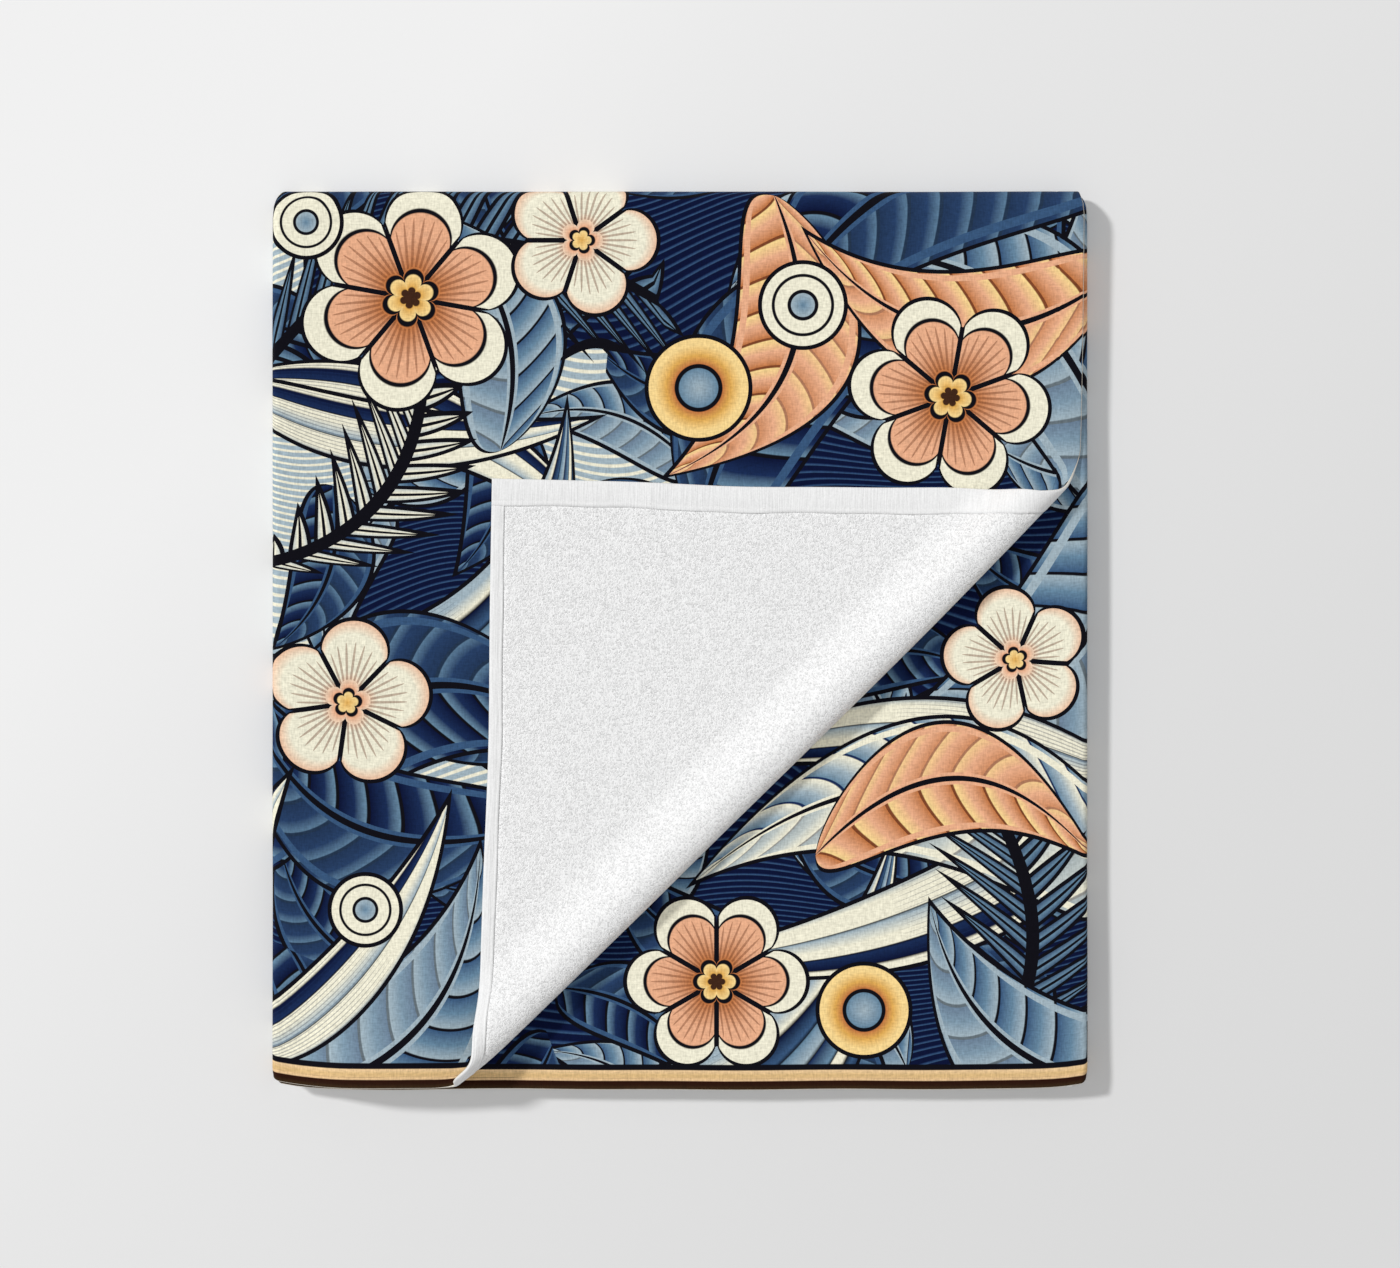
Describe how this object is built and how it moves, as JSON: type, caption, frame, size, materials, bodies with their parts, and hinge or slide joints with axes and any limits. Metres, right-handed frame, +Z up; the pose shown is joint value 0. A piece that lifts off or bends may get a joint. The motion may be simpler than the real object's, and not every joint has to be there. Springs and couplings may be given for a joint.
{
  "type": "folded beach towel",
  "caption": "Rectangular beach towel in printed velour, folded in layers to lie flat, with its front right corner laid back to show the plain white terry reverse.",
  "frame": {"origin": "middle of the packet's bounding box, on the surface that it lies on", "axes": "+Z up through the layers, +Y towards the back edge where the strip turns under, +X towards the open right side"},
  "size_m": [0.454, 0.5, 0.0393],
  "materials": {
    "towel_cloth": "velour printed in cream, peach, gold and blues on the face, plain white looped terry on the reverse, matt"
  },
  "bodies": {
    "root": {"towel": "towel_cloth"}
  },
  "joints": []
}
